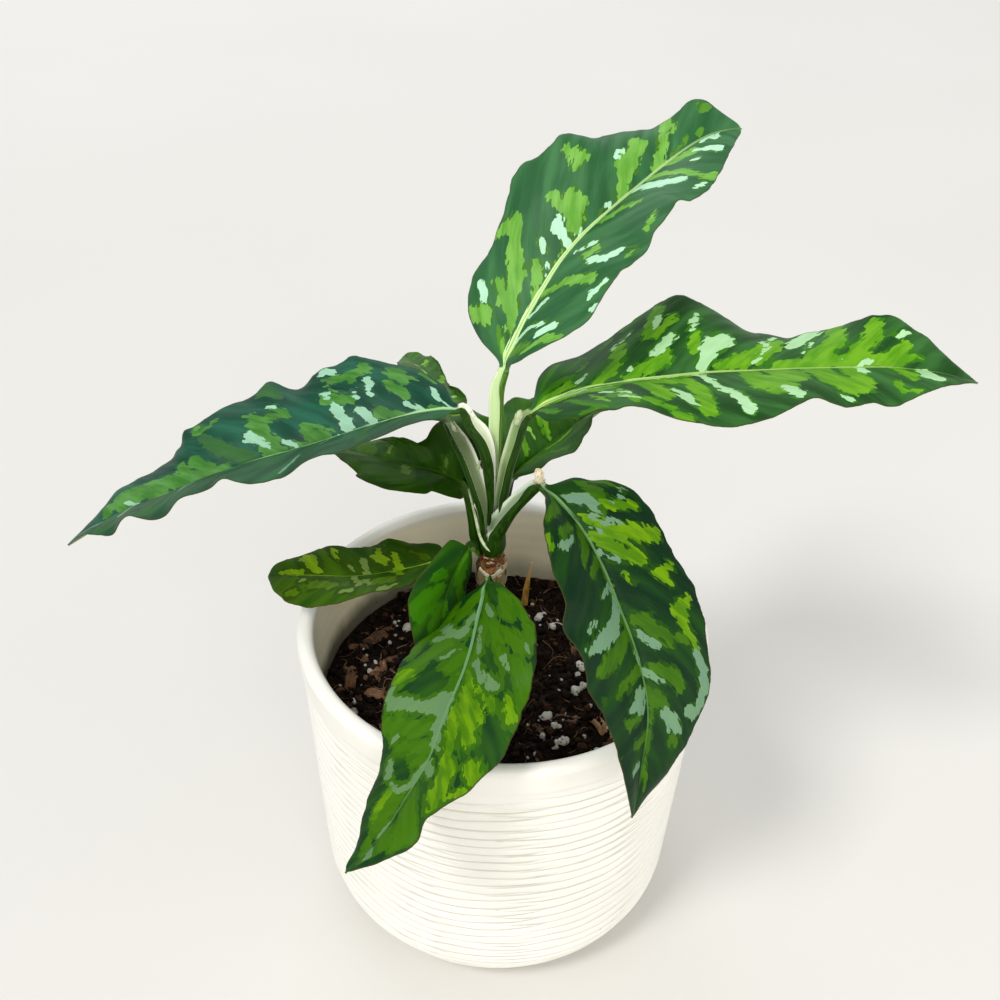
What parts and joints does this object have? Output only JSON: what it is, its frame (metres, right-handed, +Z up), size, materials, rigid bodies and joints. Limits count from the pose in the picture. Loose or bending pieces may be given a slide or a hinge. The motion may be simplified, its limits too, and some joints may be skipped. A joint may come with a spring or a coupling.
{
  "type": "potted chinese evergreen",
  "caption": "Small chinese evergreen house plant with patterned long leaves on a short scarred stem, standing in soil in a white rippled ceramic pot.",
  "frame": {"origin": "centre of the pot's flat base, on the surface that the pot stands on", "axes": "+Z up along the pot's axis, -Y towards the viewer of the picture, +X to that viewer's right"},
  "size_m": [0.2612, 0.1863, 0.2584],
  "materials": {
    "pot_glaze": "white satin glaze over fine horizontal ripples",
    "potting_soil": "damp peat potting mix, matt",
    "stem_skin": "scarred brown stem skin below, green shoot above",
    "dry_sheath": "dry papery old leaf sheath",
    "leaf_blade": "waxy satin living leaf, dark green with bright green and silvery patches",
    "straw": "dry straw-coloured fibre",
    "perlite": "porous white mineral grain",
    "bark": "rough shredded bark"
  },
  "bodies": {
    "root": {"pot": "pot_glaze", "soil": "potting_soil", "stem": "stem_skin", "leaf_scar_collar": "dry_sheath", "leaf_top": "leaf_blade", "leaf_right": "leaf_blade", "leaf_left": "leaf_blade", "leaf_front_right": "leaf_blade", "leaf_front": "leaf_blade", "leaf_low_left": "leaf_blade", "leaf_low_front": "leaf_blade", "leaf_back_left": "leaf_blade", "leaf_back_upper": "leaf_blade", "leaf_back_right": "leaf_blade", "dry_spike": "straw", "perlite_1": "perlite", "perlite_2": "perlite", "perlite_3": "perlite", "perlite_4": "perlite", "perlite_5": "perlite", "perlite_6": "perlite", "perlite_7": "perlite", "perlite_8": "perlite", "bark_chip_1": "bark", "bark_chip_2": "bark", "bark_chip_3": "bark", "bark_chip_4": "bark", "bark_chip_5": "bark"}
  },
  "joints": []
}
